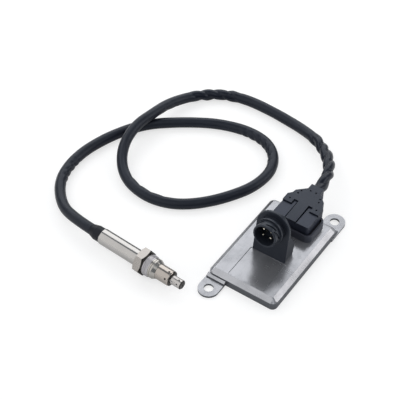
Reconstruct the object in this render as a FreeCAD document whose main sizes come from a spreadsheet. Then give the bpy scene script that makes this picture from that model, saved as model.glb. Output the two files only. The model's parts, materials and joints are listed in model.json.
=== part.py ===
import FreeCAD, Part
import math
import os
import re
import Sketcher

from FreeCAD import Placement, Rotation, Vector

os.makedirs("parts", exist_ok=True)

doc = FreeCAD.newDocument("nitrogen_oxide_sensor")

# Driving sizes, in millimetres and degrees.
# Frame: the origin is the centre of the control box's underside, X runs across the box,
# +Y along it towards the cable, and +Z up. Places along the probe count from its cable end.

SIZES = {
    # Control box: a cast aluminium cover with two ears, closed by a sheet from below
    "box_width": 68,
    "box_length": 105,
    "wall_height": 7.3,
    "bevel_width": 4.3,
    "bevel_height": 4,
    "corner_round": 5,
    "side_wall": 1.8,
    "roof_wall": 1.6,
    "wall_step": 0.5,
    "rebate_wall": 1,
    "rebate_depth": 2,
    "recess_half": 17.8,
    "recess_depth": 0.4,
    "recess_margin": 0.9,
    "ear_inset": 8.8,
    "ear_reach": 11.5,
    "ear_bore": 4.3,
    "ear_radius": 9.6,
    "ear_thickness": 2,
    "ear_wrap": 9.5,
    "ledge_width": 2.2,
    "ledge_height": 4.6,
    "ledge_slope": 1.1,
    "sheet_thickness": 1.4,
    "sheet_gap": 0.1,
    # Circuit board and what sits on it
    "board_thickness": 1.6,
    "board_under": 3.4,
    "board_gap": 1.2,
    "boss_inset": 9,
    "boss_margin": 9.5,
    "boss_radius": 2.8,
    "thread_bore": 1.25,
    "screw_shank": 1.2,
    "screw_grip": 3.8,
    "screw_head": 2.2,
    "screw_head_height": 1.3,
    "board_hole": 1.4,
    "pin_hole_gap": 0.2,
    "pin_tail": 0.6,
    "processor_side": 14,
    "processor_height": 1.4,
    "processor_inset": 21.5,
    "driver_side": 9,
    "driver_height": 1.2,
    "driver_inset": 15,
    "driver_y": 12,
    "capacitor_radius": 3,
    "capacitor_height": 3.8,
    "capacitor_pitch": 8,
    "capacitor_inset": 12,
    "capacitor_margin": 33.5,
    "choke_side": 8,
    "choke_height": 3.4,
    "choke_inset": 13,
    "choke_y": 8,
    "crystal_length": 5,
    "crystal_width": 3.2,
    "crystal_height": 1,
    "crystal_x": -12,
    # Connector tower: a leaning arch, a sloping back and a round bayonet socket
    "tower_x": 1.5,
    "tower_y": -11.35,
    "tower_lean": 8.7,
    "arch_width": 33,
    "arch_thickness": 2.4,
    "axis_rise": 32,
    "heel_depth": 13.9,
    "back_depth": 17.2,
    "back_height": 10.5,
    "back_top_depth": 6.2,
    "back_top_height": 30.5,
    "boss_back_radius": 10.5,
    "boss_back_depth": 9,
    "edge_round": 0.6,
    "spigot_half": 12,
    "spigot_front": 2.9,
    "spigot_back": 10.9,
    "spigot_gap": 0.2,
    "seal_width": 1.8,
    "seal_height": 1,
    "shell_radius": 11.2,
    "shell_wall": 1.8,
    "shell_length": 14.3,
    "socket_floor": 1.5,
    "collar_radius": 12.7,
    "collar_start": 4.5,
    "collar_end": 6.5,
    "groove_depth": 1,
    "ramp_width": 2.4,
    "ramp_travel": 5.3,
    "ramp_turn": 50,
    "ramp_start": 42,
    "slot_width": 1.5,
    "slot_place": 12.7,
    "slot_travel": 2.6,
    "slot_turn": 52,
    "slot_start": -6,
    "contact_radius": 0.75,
    "contact_side": 3.7,
    "contact_step": 3.2,
    "contact_tip": 9.2,
    "lower_bend": 1.5,
    "upper_bend": 4,
    "contact_bend": 2,
    # Plug header on the box: the walled seat of the harness plug
    "plug_x": 2,
    "header_margin": 4.5,
    "header_length": 28.5,
    "header_half": 22,
    "header_height": 7.7,
    "header_wall": 1.8,
    "header_floor": 2.2,
    "header_corner": 6,
    "header_slot_half": 13,
    "header_slot_front": 8.5,
    "header_slot_inset": 8,
    "terminal_radius": 0.5,
    "terminal_pitch": 6,
    "terminal_row": 5,
    "terminal_rise": 7,
    "terminal_sleeve": 1.2,
    "sleeve_rise": 11.5,
    "terminal_gap": 0.05,
    # Harness plug: insets and reaches count from the header's back edge
    "plug_half": 18.2,
    "plug_front": 3,
    "plug_inset": 2.5,
    "plug_lift": 0.3,
    "plug_corner": 2,
    "panel_top": 16.3,
    "split_top": 14.7,
    "cover_top": 17.7,
    "cover_half": 18.5,
    "tail_under": 5.2,
    "tail_gap": 0.4,
    "tongue_half": 5.5,
    "panel_gap": 0.3,
    "tongue_drop": 1.1,
    "notch_half": 9.5,
    "notch_inset": 3,
    "step_inset": 8.5,
    "waist_half": 15.4,
    "waist_step": 0.7,
    "waist_front": 3.5,
    "waist_back": 7.5,
    "neck_half": 6.4,
    "neck_start": 15.5,
    "plug_end": 22,
    "well_half": 11,
    "well_inset": 6,
    "well_back": 8,
    "well_depth": 5,
    "cable_height": 11.5,
    "pit_radius": 0.9,
    "pit_depth": 1.5,
    "plug_seal_height": 3,
    "plug_seal_gap": 0.1,
    # Cable
    "cable_radius": 5,
    "last_run": 18,
    "bend_share": 0.45,
    # Probe: the steel measuring end, lying on a flat of its union nut
    "probe_x": -131.2,
    "probe_y": -74.8,
    "probe_turn": -3.7,
    "nut_across": 22,
    "nut_start": 39.8,
    "nut_hex": 11.2,
    "nut_relief": 1.4,
    "nut_relief_radius": 9.1,
    "nut_barrel": 5.9,
    "nut_chamfer": 0.8,
    "nut_thread": 10,
    "nut_gap": 0.06,
    "nut_end_gap": 0.2,
    "sleeve_radius": 7.5,
    "sleeve_wall": 0.7,
    "sleeve_mouth": 6.3,
    "sleeve_curl": 0.9,
    "sleeve_cover": 10.2,
    "body_cover": 6,
    "neck_body_radius": 8,
    "flange_radius": 9.2,
    "flange_groove": 0.5,
    "flange_width": 3.5,
    "taper_length": 3.3,
    "taper_radius": 7.4,
    "shield_grip": 3.7,
    "element_bore": 3,
    "shield_radius": 7.2,
    "shield_wall": 0.5,
    "shield_length": 14.4,
    "shield_round": 1.6,
    "tip_radius": 4.3,
    "tip_wall": 0.4,
    "tip_reach": 10.9,
    "tip_round": 0.8,
    "shield_hole": 0.9,
    "shield_hole_inset": 3.5,
    "tip_hole": 0.7,
    "tip_hole_inset": 3.6,
    "hole_pairs": 3,
    "tip_mouth": 1,
    "grommet_flare": 6.9,
    "grommet_flare_end": 6.5,
    "grommet_tail": 5.4,
    "grommet_end": 12,
    "grommet_depth": 11,
    "lead_radius": 0.6,
    "lead_circle": 3.4,
    "lead_count": 6,
    "holder_start": 19,
    "holder_end": 37,
    "holder_radius": 6,
    "clip_start": 23,
    "clip_end": 33,
    "cavity_end": 31,
    "cavity_width": 5.6,
    "cavity_height": 2.8,
    "spring_width": 1,
    "spring_pitch": 1.35,
    "spring_start": 22,
    "spring_end": 30,
    "element_width": 4,
    "element_height": 1.4,
    "element_start": 21,
    "element_inset": 4.6,
    "ceramic_radius": 4.6,
    "ceramic_depth": 15,
    "talc_depth": 11,
    "talc_end_depth": 4,
}

# The cable's route: corners from the plug to the probe, chosen along the photographed loops.
# It leaves the plug level, comes down to the ground, crosses over itself in a long low hump
# and rises to the probe's axis.
CABLE_ROUTE = [
    (1, 87, 22.5),
    (-7, 108, 19),
    (-21, 126, 13),
    (-39, 141, 8),
    (-64, 150, 5),
    (-96, 154, 5),
    (-129, 155, 5),
    (-155, 147, 5),
    (-175, 128, 6),
    (-185, 102, 11),
    (-186, 76, 16.4),
    (-190, 49, 16.4),
    (-184, 21, 11),
    (-165, -1, 6),
    (-138, -10, 5),
    (-109, -6, 5),
    (-86, 11, 5),
    (-68, 35, 5),
    (-56, 60, 5),
    (-55, 88, 5),
    (-71, 111, 5),
    (-98, 118, 5),
    (-132, 110, 5),
    (-163, 91, 5),
    (-191, 68, 5),
    (-209, 35, 5),
    (-218, -3, 5),
    (-212, -38, 5),
    (-188, -64, 6.5),
]

sheet = doc.addObject("Spreadsheet::Sheet", "Sizes")
for row, (alias, value) in enumerate(SIZES.items(), 1):
    sheet.set(f"A{row}", alias.replace("_", " "))
    sheet.set(f"B{row}", str(value))
    sheet.setAlias(f"B{row}", alias)
doc.recompute()

# The small moulding pits in the plug's cover: how far from its middle line, and how far behind
# the header's back edge
PITS = [(2.75, 13.9), (9.7, 9.3), (10.7, 5.3), (13.7, -3.9)]

BOX_TOP = "(wall_height + bevel_height)"
HALF_X = "box_width / 2"
HALF_Y = "box_length / 2"
EAR_X = "(box_width / 2 - ear_inset)"
EAR_Y = "(box_length / 2 + ear_reach)"
BOSS_X = "(box_width / 2 - boss_inset)"
BOSS_Y = "(box_length / 2 - boss_margin)"
BOARD_TOP = "(board_under + board_thickness)"
HEADER_Y = "(box_length / 2 - header_margin)"
SLOT_FRONT = "(header_slot_front - header_length)"
PLUG_FRONT = "(plug_front - header_length)"
NUT_END = "(nut_start + nut_hex + nut_relief + nut_barrel)"
SLEEVE_END = "(nut_start + sleeve_cover)"
FLANGE_START = f"({NUT_END} + nut_end_gap)"
FLANGE_END = f"({FLANGE_START} + flange_width)"
TAPER_END = f"({FLANGE_END} + taper_length)"
SPIGOT_END = f"({TAPER_END} + shield_grip)"
SHIELD_END = f"({TAPER_END} + shield_length)"
SHIELD_BORE = "(shield_radius - shield_wall)"
TIP_END = f"({SHIELD_END} + tip_reach)"


def bound(text):
    """The expression for a formula that is written with the names of the sizes."""
    return re.sub(r"[a-z_]+", lambda word: "Sizes." + word[0] if word[0] in SIZES else word[0], str(text))


def size(text):
    """What a formula of sizes comes to now."""
    value = sheet.evalExpression(bound(text))
    return float(getattr(value, "Value", value))


def bind(thing, name, text):
    """Ties one property of a feature to a formula of sizes."""
    thing.setExpression(name, bound(text))


def place(thing, x="0", y="0", z="0", turn=None):
    """Puts a piece where its formulas say, turned as given."""
    thing.Placement = Placement(Vector(size(x), size(y), size(z)), turn or Rotation())
    for axis, text in (("x", x), ("y", y), ("z", z)):
        bind(thing, f".Placement.Base.{axis}", text)


def new_body(label):
    body = doc.addObject("PartDesign::Body", label)
    body.Label = label
    return body


def origin_part(body, role):
    return next(part for part in body.Origin.OriginFeatures if part.Role == role)


def sketch_on(body, role, height="0", turn=None):
    """A sketch on one of the body's own planes, lifted along the plane's normal."""
    sketch = body.newObject("Sketcher::SketchObject", body.Label + "_sketch")
    sketch.AttachmentSupport = [(origin_part(body, role), "")]
    sketch.MapMode = "FlatFace"
    sketch.AttachmentOffset = Placement(Vector(0, 0, size(height)), turn or Rotation())
    bind(sketch, ".AttachmentOffset.Base.z", height)
    return sketch


def hold(sketch, kind, text, *where):
    """One dimension of a sketch, tied to a formula of sizes."""
    index = sketch.addConstraint(Sketcher.Constraint(kind, *where, size(text)))
    bind(sketch, f"Constraints[{index}]", text)


def hold_point(sketch, geometry, end, x, y):
    hold(sketch, "DistanceX", x, -1, 1, geometry, end)
    hold(sketch, "DistanceY", y, -1, 1, geometry, end)


def spot(x, y):
    return Vector(size(x), size(y), 0)


def closed_line(sketch, corners):
    """A closed outline of straight sides whose corners are formulas of sizes."""
    first = sketch.GeometryCount
    spots = [spot(x, y) for x, y in corners]
    sketch.addGeometry([Part.LineSegment(a, b) for a, b in zip(spots, spots[1:] + spots[:1])], False)
    for i, (x, y) in enumerate(corners):
        following = first + (i + 1) % len(corners)
        sketch.addConstraint(Sketcher.Constraint("Coincident", first + i, 2, following, 1))
        hold_point(sketch, first + i, 1, x, y)
    return sketch


def box_line(sketch, x0, y0, x1, y1):
    return closed_line(sketch, [(x0, y0), (x1, y0), (x1, y1), (x0, y1)])


def circle_line(sketch, x, y, radius):
    index = sketch.addGeometry(Part.Circle(spot(x, y), Vector(0, 0, 1), size(radius)), False)
    hold_point(sketch, index, 3, x, y)
    hold(sketch, "Radius", radius, index)
    return sketch


def round_line(sketch, x0, y0, x1, y1, radius):
    """A rectangle with rounded corners: four arcs and the sides between them."""
    first = sketch.GeometryCount
    centres = [(f"({x1}) - ({radius})", f"({y1}) - ({radius})"), (f"({x0}) + {radius}", f"({y1}) - ({radius})"),
               (f"({x0}) + {radius}", f"({y0}) + {radius}"), (f"({x1}) - ({radius})", f"({y0}) + {radius}")]
    arcs = []
    for i, (x, y) in enumerate(centres):
        circle = Part.Circle(spot(x, y), Vector(0, 0, 1), size(radius))
        arcs.append(Part.ArcOfCircle(circle, i * math.pi / 2, (i + 1) * math.pi / 2))
    sides = [Part.LineSegment(a.EndPoint, b.StartPoint) for a, b in zip(arcs, arcs[1:] + arcs[:1])]
    sketch.addGeometry(arcs + sides, False)
    for i, (x, y) in enumerate(centres):
        arc, side, following = first + i, first + 4 + i, first + (i + 1) % 4
        sketch.addConstraint(Sketcher.Constraint("Tangent", arc, 2, side, 1))
        sketch.addConstraint(Sketcher.Constraint("Tangent", side, 2, following, 1))
        hold_point(sketch, arc, 3, x, y)
        hold(sketch, "Radius", radius, arc)
    return sketch


def inset_line(sketch, inset):
    """The box's outline, moved inwards: its corners stay concentric."""
    return round_line(sketch, f"{inset} - {HALF_X}", f"{inset} - {HALF_Y}",
                      f"{HALF_X} - ({inset})", f"{HALF_Y} - ({inset})", f"(corner_round - ({inset}))")


def pad(body, sketch, length, back=False, both=False):
    feature = body.newObject("PartDesign::Pad", body.Label + "_pad")
    feature.Profile = sketch
    feature.Reversed = back
    feature.Midplane = both
    bind(feature, "Length", length)
    return feature


def checked(body, cut):
    """Builds a cut, which has to take something away, or the build stops."""
    before = body.Shape.Volume
    doc.recompute()
    if body.Shape.Volume > before - 1e-3:
        raise RuntimeError(f"a cut of {body.Label} took nothing away")
    return cut


def pocket(body, sketch, length, back=False, both=False):
    doc.recompute()
    feature = body.newObject("PartDesign::Pocket", body.Label + "_pocket")
    feature.Profile = sketch
    feature.Reversed = back
    feature.Midplane = both
    bind(feature, "Length", length)
    return checked(body, feature)


def revolve(body, sketch):
    feature = body.newObject("PartDesign::Revolution", body.Label + "_turn")
    feature.Profile = sketch
    feature.ReferenceAxis = (sketch, ["H_Axis"])
    feature.Angle = 360
    return feature


def around(body, features, role, count):
    """Copies of features, spread evenly around one of the body's axes."""
    pattern = body.newObject("PartDesign::PolarPattern", body.Label + "_ring")
    pattern.Originals = features
    pattern.Axis = (origin_part(body, role), [""])
    pattern.Angle = 360
    pattern.Occurrences = int(round(size(count)))
    body.Tip = pattern
    doc.recompute()
    return pattern


def dress(body, kind, amount, picks):
    """A fillet or chamfer on the edges that picks() accepts."""
    doc.recompute()
    base = body.Tip
    names = [f"Edge{i}" for i, edge in enumerate(base.Shape.Edges, 1) if picks(edge)]
    feature = body.newObject("PartDesign::" + kind, body.Label + "_edges")
    feature.Base = (base, names)
    bind(feature, "Radius" if kind == "Fillet" else "Size", amount)
    body.Tip = feature
    return feature


def flat_at(edge, axis, value):
    """Does the whole edge lie at this place along an axis?"""
    low, high = getattr(edge.BoundBox, axis + "Min"), getattr(edge.BoundBox, axis + "Max")
    return abs(low - value) < 1e-4 and abs(high - value) < 1e-4


def primitive(kind, label, **amounts):
    thing = doc.addObject("Part::" + kind, label)
    thing.Label = label
    for name, text in amounts.items():
        bind(thing, name, text)
    return thing


def block(label, x, y, side_x, side_y, z, height):
    """A box that stands on a height, centred on a place."""
    thing = primitive("Box", label, Length=side_x, Width=side_y, Height=height)
    place(thing, f"{x} - {side_x} / 2", f"{y} - {side_y} / 2", z)
    return thing


def group(label, things):
    """Separate solids of one kind, kept as one piece of the list."""
    bunch = doc.addObject("Part::Compound", label)
    bunch.Label = label
    bunch.Links = things
    return bunch


def combine(kind, label, base, tool):
    """One boolean of two things."""
    result = doc.addObject("Part::" + kind, label)
    result.Label = label
    result.Base = base
    result.Tool = tool
    return result


def route(corners, shares):
    """Straight runs joined by tangent arcs, each taking its share of the shorter run."""
    edges = []
    radii = []
    start = corners[0]
    for before, corner, after, share in zip(corners, corners[1:], corners[2:], shares):
        arriving, leaving = corner - before, after - corner
        half_turn = arriving.getAngle(leaving) / 2
        reach = share * min(arriving.Length, leaving.Length)
        radius = reach / math.tan(half_turn)
        arriving.normalize()
        leaving.normalize()
        inward = (leaving - arriving).normalize()
        enter, leave = corner - arriving * reach, corner + leaving * reach
        middle = corner + inward * (radius / math.cos(half_turn) - radius)
        edges += [Part.LineSegment(start, enter).toShape(), Part.Arc(enter, middle, leave).toShape()]
        radii.append(radius)
        start = leave
    edges.append(Part.LineSegment(start, corners[-1]).toShape())
    return Part.Wire(edges), radii


def tube_along(label, corners, radius, shares):
    """A round tube along a route, and the radii of the route's bends."""
    path, radii = route(corners, shares)
    ring = Part.Wire([Part.Circle(corners[0], corners[1] - corners[0], radius).toShape()])
    tube = doc.addObject("Part::Feature", label)
    tube.Label = label
    tube.Shape = path.makePipeShell([ring], True, False)
    expected = math.pi * radius ** 2 * path.Length
    print(label, "length", round(path.Length, 1), "volume share", round(tube.Shape.Volume / expected, 4))
    return tube, radii


def make_housing():
    """The cast cover: bevelled shell, ears with their ledges, recess and openings."""
    body = new_body("housing")
    pad(body, inset_line(sketch_on(body, "XY_Plane"), "0"), BOX_TOP)
    bevel = dress(body, "Chamfer", "bevel_height", lambda edge: flat_at(edge, "Z", size(BOX_TOP)))
    bevel.ChamferType = "Two distances"
    bind(bevel, "Size2", "bevel_width")

    tongue = sketch_on(body, "XY_Plane")
    box_line(tongue, f"-({EAR_X} + ear_radius)", f"-{EAR_Y}", f"ear_radius - {EAR_X}", f"ear_wrap - {HALF_Y}")
    nose = circle_line(sketch_on(body, "XY_Plane"), f"-{EAR_X}", f"-{EAR_Y}", "ear_radius")
    ledge = sketch_on(body, "YZ_Plane", f"ear_radius - {EAR_X}")
    closed_line(ledge, [
        (f"-({HALF_Y} + ledge_width)", "0"),
        (f"corner_round - {HALF_Y}", "0"),
        (f"corner_round - {HALF_Y}", "ledge_height + ledge_slope"),
        (f"-{HALF_Y}", "ledge_height + ledge_slope / 2"),
        (f"-({HALF_Y} + ledge_width - ledge_slope)", "ledge_height"),
        (f"-({HALF_Y} + ledge_width)", "ledge_height - ledge_slope"),
    ])
    ear = [pad(body, tongue, "ear_thickness"), pad(body, nose, "ear_thickness"),
           pad(body, ledge, "ear_radius + ear_inset", back=True)]
    around(body, ear, "Z_Axis", "2")

    pocket(body, inset_line(sketch_on(body, "XY_Plane"), "side_wall"), "wall_height - wall_step", back=True)
    upper = sketch_on(body, "XY_Plane")
    inset = "side_wall + bevel_width"
    box_line(upper, f"{inset} - {HALF_X}", f"{inset} - {HALF_Y}", f"{HALF_X} - ({inset})", f"{HALF_Y} - ({inset})")
    pocket(body, upper, f"{BOX_TOP} - roof_wall", back=True)
    pocket(body, inset_line(sketch_on(body, "XY_Plane"), "rebate_wall"), "rebate_depth", back=True)

    holes = sketch_on(body, "XY_Plane")
    circle_line(holes, f"-{EAR_X}", f"-{EAR_Y}", "ear_bore")
    circle_line(holes, EAR_X, EAR_Y, "ear_bore")
    pocket(body, holes, "ear_thickness + ledge_height", back=True)
    recess = sketch_on(body, "XY_Plane", BOX_TOP)
    box_line(recess, "tower_x - recess_half", f"bevel_width + recess_margin - {HALF_Y}",
             "tower_x + recess_half", "tower_y")
    pocket(body, recess, "recess_depth")
    openings = sketch_on(body, "XY_Plane", BOX_TOP)
    box_line(openings, "tower_x - spigot_half - spigot_gap", "tower_y + spigot_front - spigot_gap",
             "tower_x + spigot_half + spigot_gap", "tower_y + spigot_back + spigot_gap")
    box_line(openings, "plug_x - header_slot_half - spigot_gap", f"{HEADER_Y} + {SLOT_FRONT} - spigot_gap",
             "plug_x + header_slot_half + spigot_gap", f"{HEADER_Y} - header_slot_inset + spigot_gap")
    pocket(body, openings, "2 * roof_wall")

    bosses = sketch_on(body, "XY_Plane", BOARD_TOP)
    bores = sketch_on(body, "XY_Plane", BOARD_TOP)
    for x in (f"-{BOSS_X}", BOSS_X):
        for y in (f"-{BOSS_Y}", BOSS_Y):
            circle_line(bosses, x, y, "boss_radius")
            circle_line(bores, x, y, "thread_bore")
    rise = f"{BOX_TOP} - {BOARD_TOP}"
    pad(body, bosses, f"{rise} - roof_wall / 2")
    pocket(body, bores, f"{rise} - roof_wall", back=True)
    return body


def make_bottom_sheet():
    body = new_body("bottom_sheet")
    pad(body, inset_line(sketch_on(body, "XY_Plane"), "rebate_wall + sheet_gap"), "sheet_thickness")
    return body


def make_housing_seal():
    """The bead of sealant between the sheet and the rebate's ledge."""
    body = new_body("housing_seal")
    ring = sketch_on(body, "XY_Plane", "sheet_thickness")
    inset_line(ring, "rebate_wall + sheet_gap")
    inset_line(ring, "side_wall")
    pad(body, ring, "rebate_depth - sheet_thickness")
    return body


def contact_places():
    """Each tower contact: across the box, how far back its foot stands, its height, its bend."""
    places = []
    for step, bend in (("-contact_step", "lower_bend"), ("contact_step", "upper_bend")):
        foot = f"({bend} * cos(tower_lean) + (axis_rise + {step}) * sin(tower_lean))"
        places += [(side, foot, step, bend) for side in ("-contact_side", "contact_side")]
    return places


def terminal_places():
    """Where the eight terminals under the plug stand, from the header's back edge."""
    middle = f"({SLOT_FRONT} - header_slot_inset) / 2"
    return [(f"plug_x + {k} * terminal_pitch", f"{middle} + {side} * terminal_row / 2")
            for side in (-1, 1) for k in (-1.5, -0.5, 0.5, 1.5)]


def make_circuit_board():
    body = new_body("circuit_board")
    board = inset_line(sketch_on(body, "XY_Plane", "board_under"), "side_wall + board_gap")
    for x in (f"-{BOSS_X}", BOSS_X):
        for y in (f"-{BOSS_Y}", BOSS_Y):
            circle_line(board, x, y, "board_hole")
    for side, foot, step, bend in contact_places():
        circle_line(board, f"tower_x + {side}", f"tower_y + {foot}", "contact_radius + pin_hole_gap")
    for x, y in terminal_places():
        circle_line(board, x, f"{HEADER_Y} + {y}", "terminal_radius + pin_hole_gap")
    pad(body, board, "board_thickness")
    return body


def make_board_screws():
    """Four screws up through the board into the cover's bosses."""
    screws = []
    for x in (f"-{BOSS_X}", BOSS_X):
        for y in (f"-{BOSS_Y}", BOSS_Y):
            head = primitive("Cylinder", "screw_head", Radius="screw_head", Height="screw_head_height")
            place(head, x, y, "board_under - screw_head_height")
            shank = primitive("Cylinder", "screw_shank", Radius="screw_shank",
                              Height="board_thickness + screw_grip + screw_head_height / 2")
            place(shank, x, y, "board_under - screw_head_height / 2")
            screws.append(combine("Fuse", "screw", head, shank))
    return group("board_screws", screws)


def make_board_parts():
    """Chips, capacitors, choke and crystal, standing on the board."""
    processor = block("processor_chip", "0", f"processor_inset - {HALF_Y}", "processor_side", "processor_side",
                      BOARD_TOP, "processor_height")
    driver = block("driver_chip", f"driver_inset - {HALF_X}", "driver_y", "driver_side", "driver_side",
                   BOARD_TOP, "driver_height")
    crystal = block("clock_crystal", "crystal_x", f"processor_inset - {HALF_Y}", "crystal_length", "crystal_width",
                    BOARD_TOP, "crystal_height")
    cans = []
    for i in (-1, 0, 1):
        can = primitive("Cylinder", "capacitor_can", Radius="capacitor_radius", Height="capacitor_height")
        place(can, f"{HALF_X} - capacitor_inset", f"capacitor_margin - {HALF_Y} + {i} * capacitor_pitch", BOARD_TOP)
        cans.append(can)
    choke = block("power_choke", f"{HALF_X} - choke_inset", "choke_y", "choke_side", "choke_side", BOARD_TOP, "choke_height")
    return [processor, driver, crystal, group("filter_capacitors", cans), choke]


def tower_turn():
    return Rotation(Vector(1, 0, 0), -size("tower_lean"))


def make_tower_block():
    """The leaning arch with its boss and sloping back, and the spigot into the box."""
    body = new_body("tower_block")
    place(body, "tower_x", "tower_y", BOX_TOP, tower_turn())
    level = Rotation(Vector(0, 0, 1), size("tower_lean"))
    half = "arch_width / 2"
    plate = box_line(sketch_on(body, "XZ_Plane"), f"-{half}", "-arch_thickness", half, "axis_rise")
    pad(body, plate, "arch_thickness", back=True)
    pad(body, circle_line(sketch_on(body, "XZ_Plane"), "0", "axis_rise", half), "arch_thickness", back=True)
    dress(body, "Fillet", "edge_round", lambda edge: flat_at(edge, "Y", 0) and edge.BoundBox.ZMax > size("edge_round"))
    back = sketch_on(body, "YZ_Plane", turn=level)
    closed_line(back, [
        ("arch_thickness / 2", "-arch_thickness / 2"),
        ("heel_depth", "-arch_thickness / 2"),
        ("heel_depth", "0"),
        ("back_depth", "back_height"),
        ("back_top_depth", "back_top_height"),
        ("arch_thickness", "back_height"),
    ])
    pad(body, back, "arch_width - 2 * edge_round", both=True)
    rear_boss = circle_line(sketch_on(body, "XZ_Plane"), "0", "axis_rise", "boss_back_radius")
    pad(body, rear_boss, "boss_back_depth", back=True)
    ground = sketch_on(body, "YZ_Plane", turn=level)
    box_line(ground, "-back_depth", "-back_depth", "2 * back_depth", "0")
    pocket(body, ground, "2 * arch_width", both=True)
    seat = sketch_on(body, "YZ_Plane", turn=level)
    box_line(seat, "spigot_front - seal_width - spigot_gap", "-seal_height",
             "spigot_back + seal_width + spigot_gap", "seal_height")
    pocket(body, seat, "2 * (spigot_half + seal_width + spigot_gap)", both=True)
    spigot = sketch_on(body, "YZ_Plane", turn=level)
    box_line(spigot, "spigot_front", "-roof_wall", "spigot_back", "seal_height + roof_wall")
    pad(body, spigot, "2 * spigot_half", both=True)
    return body


def make_bayonet_shell():
    """The round socket: its axis is this body's X, and X counts from the arch's face."""
    body = new_body("bayonet_shell")
    turn = tower_turn().multiply(Rotation(Vector(0, 0, 1), -90))
    place(body, "tower_x", "tower_y + axis_rise * sin(tower_lean)",
          f"{BOX_TOP} + axis_rise * cos(tower_lean)", turn)
    wall = closed_line(sketch_on(body, "XY_Plane"), [
        ("-arch_thickness / 2", "0"),
        ("-arch_thickness / 2", "shell_radius"),
        ("collar_start", "shell_radius"),
        ("collar_start", "collar_radius"),
        ("collar_end", "collar_radius"),
        ("collar_end", "shell_radius"),
        ("shell_length - edge_round", "shell_radius"),
        ("shell_length", "shell_radius - edge_round"),
        ("shell_length", "shell_radius - shell_wall + edge_round / 2"),
        ("shell_length - edge_round / 2", "shell_radius - shell_wall"),
        ("socket_floor", "shell_radius - shell_wall"),
        ("socket_floor", "0"),
    ])
    revolve(body, wall)
    for name in ("ramp", "slot"):
        doc.recompute()
        section = sketch_on(body, "XZ_Plane", turn=Rotation(Vector(1, 0, 0), -size(name + "_start")))
        place_along = "shell_length" if name == "ramp" else "slot_place"
        box_line(section, f"{place_along} - {name}_width", "shell_radius - groove_depth",
                 place_along, "shell_radius + groove_depth")
        groove = body.newObject("PartDesign::SubtractiveHelix", name + "_groove")
        groove.Profile = section
        groove.ReferenceAxis = (section, ["H_Axis"])
        groove.Mode = "height-turns-growth"
        groove.Reversed = True
        bind(groove, "Height", name + "_travel")
        bind(groove, "Turns", name + "_turn / 360")
        checked(body, groove)
        around(body, [groove], "X_Axis", "3")
    return body


def tower_point(side, depth, rise):
    """A point in the tower: across it, back along the socket's axis and up its face."""
    base = Vector(size("tower_x"), size("tower_y"), size(BOX_TOP))
    return base + tower_turn().multVec(Vector(side, depth, rise))


def make_tower():
    """The tower with its four contacts moulded in, and the seal under it."""
    pins = []
    for i, (side, foot, step, bend) in enumerate(contact_places(), 1):
        corner = tower_point(size(side), size(bend), size(f"axis_rise + {step}"))
        tip = tower_point(size(side), -size("contact_tip"), size(f"axis_rise + {step}"))
        tail = Vector(corner.x, corner.y, size("board_under - pin_tail"))
        share = size("contact_bend") / min((tip - corner).Length, (corner - tail).Length)
        pin, radii = tube_along(f"socket_pin_{i}", [tip, corner, tail], size("contact_radius"), [share])
        pins.append(pin)
    moulding = combine("Fuse", "tower_moulding", make_tower_block(), make_bayonet_shell())
    tower = combine("Cut", "connector_tower", moulding, group("pin_space", pins))
    seal = new_body("tower_seal")
    ring = sketch_on(seal, "XY_Plane", BOX_TOP)
    across, front, back = "tower_x", "tower_y + spigot_front", "tower_y + spigot_back"
    box_line(ring, f"{across} - spigot_half - seal_width", f"{front} - seal_width",
             f"{across} + spigot_half + seal_width", f"{back} + seal_width")
    box_line(ring, f"{across} - spigot_half", front, f"{across} + spigot_half", back)
    pad(seal, ring, "seal_height")
    return pins + [tower, seal]


def header_body(label):
    """A body whose Y counts from the header's back edge."""
    body = new_body(label)
    place(body, "0", HEADER_Y, "0")
    return body


def make_header():
    """The walled header that the plug stands in, its seal and its terminals."""
    body = header_body("plug_header")
    x0, x1 = "plug_x - header_half", "plug_x + header_half"
    outline = sketch_on(body, "XY_Plane", BOX_TOP)
    round_line(outline, x0, "-header_length", x1, "0", "header_corner")
    pad(body, outline, "header_height")
    inner = sketch_on(body, "XY_Plane", f"{BOX_TOP} + header_height")
    round_line(inner, f"{x0} + header_wall", "header_wall - header_length",
               f"{x1} - header_wall", "-header_wall", "(header_corner - header_wall)")
    pocket(body, inner, "header_height - header_floor")
    slot = ("plug_x - header_slot_half", SLOT_FRONT, "plug_x + header_slot_half", "-header_slot_inset")
    groove = sketch_on(body, "XY_Plane", BOX_TOP)
    box_line(groove, f"{slot[0]} - seal_width - spigot_gap", f"{slot[1]} - seal_width - spigot_gap",
             f"{slot[2]} + seal_width + spigot_gap", f"{slot[3]} + seal_width + spigot_gap")
    box_line(groove, *slot)
    pocket(body, groove, "seal_height", back=True)
    spigot = sketch_on(body, "XY_Plane", f"{BOX_TOP} - roof_wall")
    box_line(spigot, *slot)
    pad(body, spigot, "roof_wall + header_floor / 2")
    holes = sketch_on(body, "XY_Plane", f"{BOX_TOP} - 2 * roof_wall")
    for x, y in terminal_places():
        circle_line(holes, x, y, "terminal_radius")
    pocket(body, holes, "2 * roof_wall + 2 * header_floor", back=True)

    seal = header_body("header_seal")
    ring = sketch_on(seal, "XY_Plane", BOX_TOP)
    box_line(ring, f"{slot[0]} - seal_width", f"{slot[1]} - seal_width",
             f"{slot[2]} + seal_width", f"{slot[3]} + seal_width")
    box_line(ring, *slot)
    pad(seal, ring, "seal_height")

    pins = []
    for x, y in terminal_places():
        pin = primitive("Cylinder", "terminal", Radius="terminal_radius",
                        Height=f"{BOX_TOP} + terminal_rise - board_under + pin_tail")
        place(pin, x, f"{HEADER_Y} + {y}", "board_under - pin_tail")
        pins.append(pin)
    return [body, seal, group("header_pins", pins)]


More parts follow.
